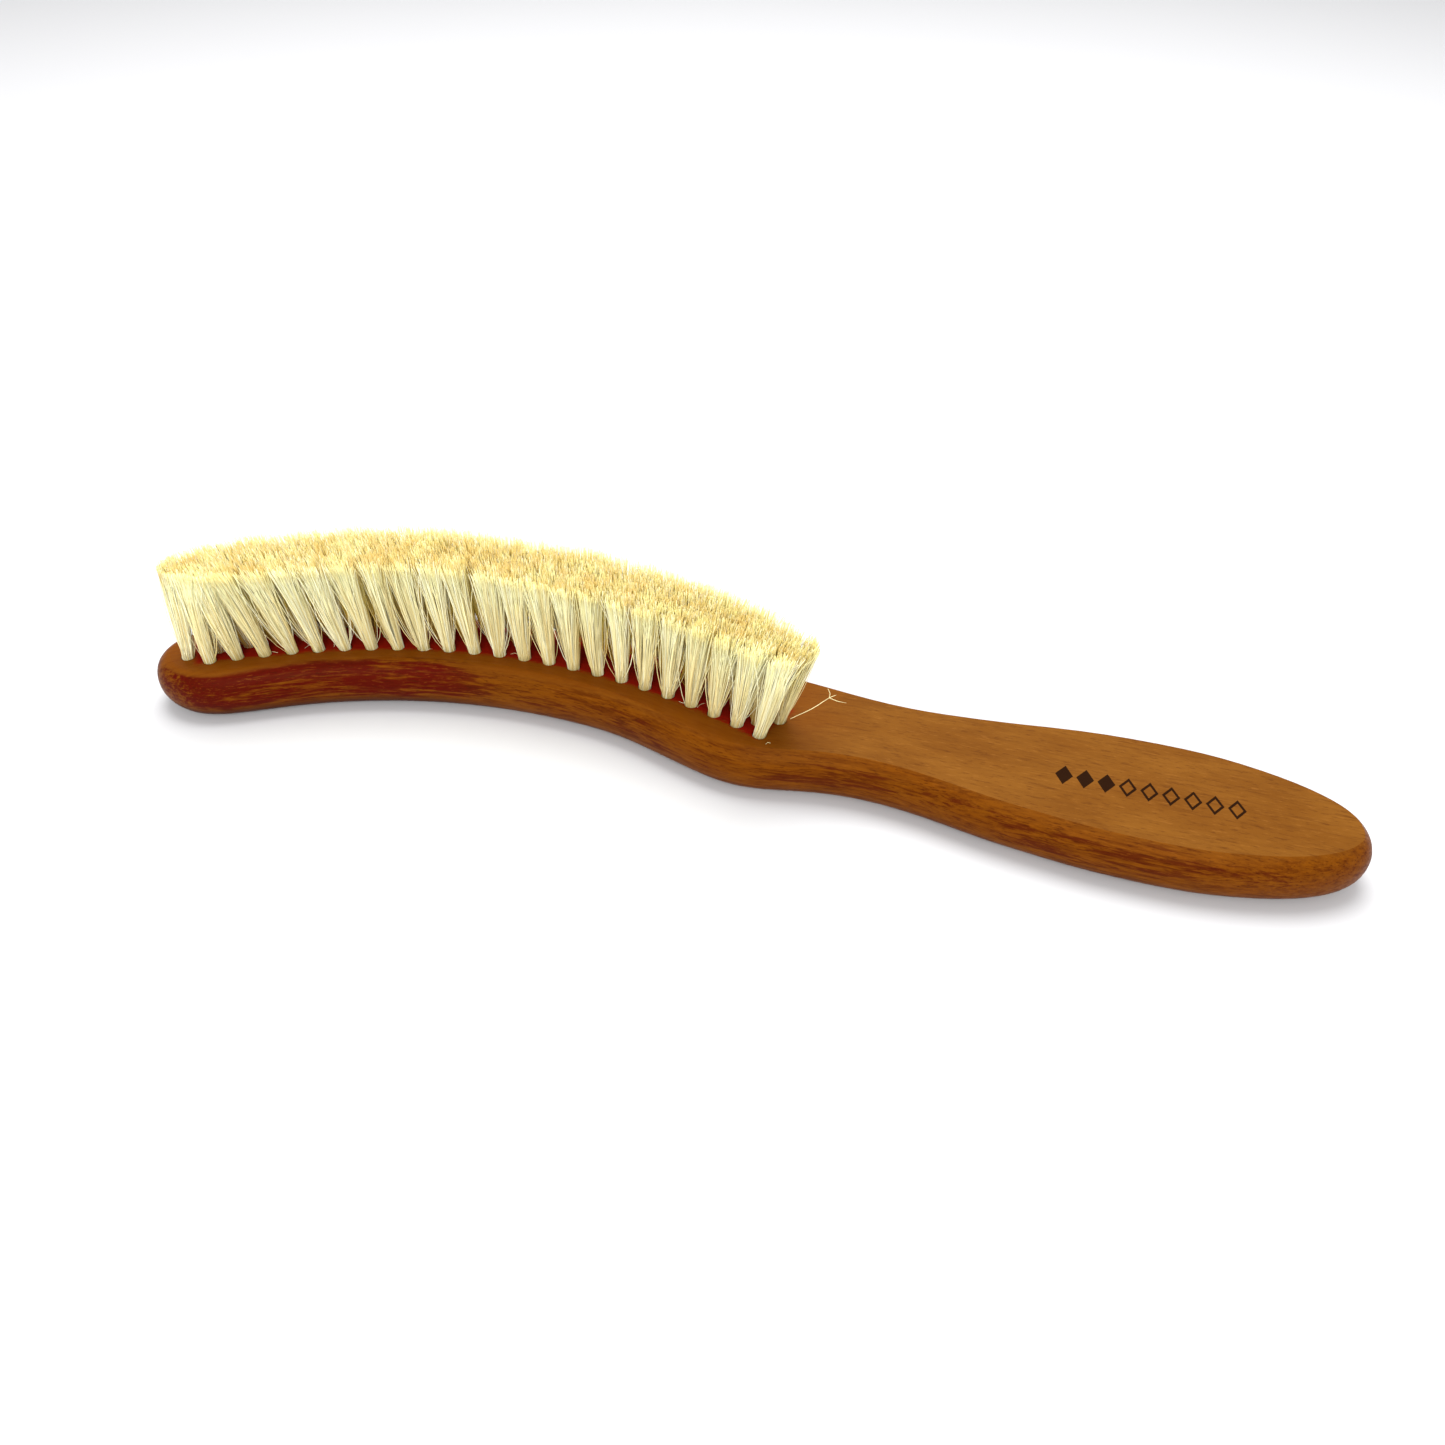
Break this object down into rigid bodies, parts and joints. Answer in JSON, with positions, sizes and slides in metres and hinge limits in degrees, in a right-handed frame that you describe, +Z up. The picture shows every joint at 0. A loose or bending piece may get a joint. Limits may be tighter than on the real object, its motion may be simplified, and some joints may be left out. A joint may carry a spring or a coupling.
{
  "type": "hat brush",
  "caption": "Curved wooden hat brush: paddle-shaped handle and a bowed head set with staggered rows of pale natural-bristle tufts.",
  "frame": {"origin": "under the middle of the outline, on the surface that the flat back rests on", "axes": "+X along the handle towards its butt end, +Z up out of the bristle side, +Y towards the bulging side of the bowed head"},
  "size_m": [0.2905, 0.0522, 0.0386],
  "materials": {
    "pear_wood": "oiled pear wood, satin",
    "bristle": "natural light bristle",
    "anchor_wire": "flat drawn wire"
  },
  "bodies": {
    "root": {"wood_body": "pear_wood", "tuft_column_01": "bristle", "tuft_column_02": "bristle", "tuft_column_03": "bristle", "tuft_column_04": "bristle", "tuft_column_05": "bristle", "tuft_column_06": "bristle", "tuft_column_07": "bristle", "tuft_column_08": "bristle", "tuft_column_09": "bristle", "tuft_column_10": "bristle", "tuft_column_11": "bristle", "tuft_column_12": "bristle", "tuft_column_13": "bristle", "tuft_column_14": "bristle", "tuft_column_15": "bristle", "tuft_column_16": "bristle", "tuft_column_17": "bristle", "tuft_column_18": "bristle", "tuft_column_19": "bristle", "tuft_column_20": "bristle", "tuft_column_21": "bristle", "tuft_column_22": "bristle", "tuft_column_23": "bristle", "anchor_column_01": "anchor_wire", "anchor_column_02": "anchor_wire", "anchor_column_03": "anchor_wire", "anchor_column_04": "anchor_wire", "anchor_column_05": "anchor_wire", "anchor_column_06": "anchor_wire", "anchor_column_07": "anchor_wire", "anchor_column_08": "anchor_wire", "anchor_column_09": "anchor_wire", "anchor_column_10": "anchor_wire", "anchor_column_11": "anchor_wire", "anchor_column_12": "anchor_wire", "anchor_column_13": "anchor_wire", "anchor_column_14": "anchor_wire", "anchor_column_15": "anchor_wire", "anchor_column_16": "anchor_wire", "anchor_column_17": "anchor_wire", "anchor_column_18": "anchor_wire", "anchor_column_19": "anchor_wire", "anchor_column_20": "anchor_wire", "anchor_column_21": "anchor_wire", "anchor_column_22": "anchor_wire", "anchor_column_23": "anchor_wire"}
  },
  "joints": []
}
